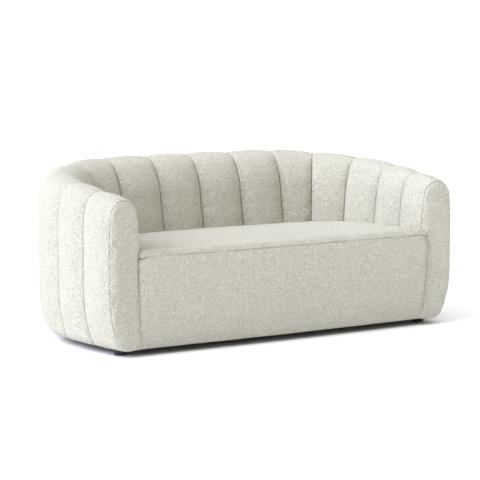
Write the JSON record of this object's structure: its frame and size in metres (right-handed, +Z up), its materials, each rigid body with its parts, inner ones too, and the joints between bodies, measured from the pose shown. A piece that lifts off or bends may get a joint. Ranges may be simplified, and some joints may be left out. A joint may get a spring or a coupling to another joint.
{
  "type": "tuxedo sofa",
  "caption": "Curved two-seat sofa in boucle: one channel-tufted wall wraps both arms and the back round a fixed bench seat, on low round feet.",
  "frame": {"origin": "on the floor, under the middle of the sofa's box", "axes": "+X to the sitter's left, +Y to the back, +Z up; the front faces -Y"},
  "size_m": [1.737, 0.954, 0.709],
  "materials": {
    "boucle": "looped pile, matt",
    "plywood": "raw birch plywood",
    "solid_wood": "raw pine",
    "fibreboard": "smooth hardboard",
    "foam": "open-cell foam",
    "deck_cloth": "plain cotton",
    "dust_cloth": "non-woven, matt",
    "webbing": "woven elastic",
    "zinc_steel": "zinc plated",
    "black_plastic": "moulded"
  },
  "bodies": {
    "root": {"arm_cap_left": "boucle", "arm_cap_right": "boucle", "arm_front_board_left": "plywood", "arm_front_board_right": "plywood", "base_front_rail": "solid_wood", "base_ring_back": "plywood", "base_ring_left": "plywood", "base_ring_right": "plywood", "channel_01": "boucle", "channel_02": "boucle", "channel_03": "boucle", "channel_04": "boucle", "channel_05": "boucle", "channel_06": "boucle", "channel_07": "boucle", "channel_08": "boucle", "channel_09": "boucle", "channel_10": "boucle", "channel_11": "boucle", "channel_12": "boucle", "channel_13": "boucle", "channel_14": "boucle", "deck_cloth": "deck_cloth", "dust_cover": "dust_cloth", "dust_staples": "zinc_steel", "feet": "black_plastic", "foot_bolts": "zinc_steel", "front_board": "plywood", "front_border": "boucle", "front_posts": "solid_wood", "front_rail": "solid_wood", "glue_blocks": "solid_wood", "inner_lining": "fibreboard", "joint_plates": "plywood", "outer_lining": "fibreboard", "seat_cover": "boucle", "seat_foam": "foam", "seat_ring_back": "plywood", "seat_ring_left": "plywood", "seat_ring_right": "plywood", "stretcher_left": "solid_wood", "stretcher_middle": "solid_wood", "stretcher_right": "solid_wood", "tee_nuts": "zinc_steel", "top_rail_back": "plywood", "top_rail_left": "plywood", "top_rail_right": "plywood", "uprights_back": "plywood", "uprights_left": "plywood", "uprights_right": "plywood", "webbing_front_to_back": "webbing", "webbing_side_to_side": "webbing", "webbing_staples": "zinc_steel"}
  },
  "joints": []
}
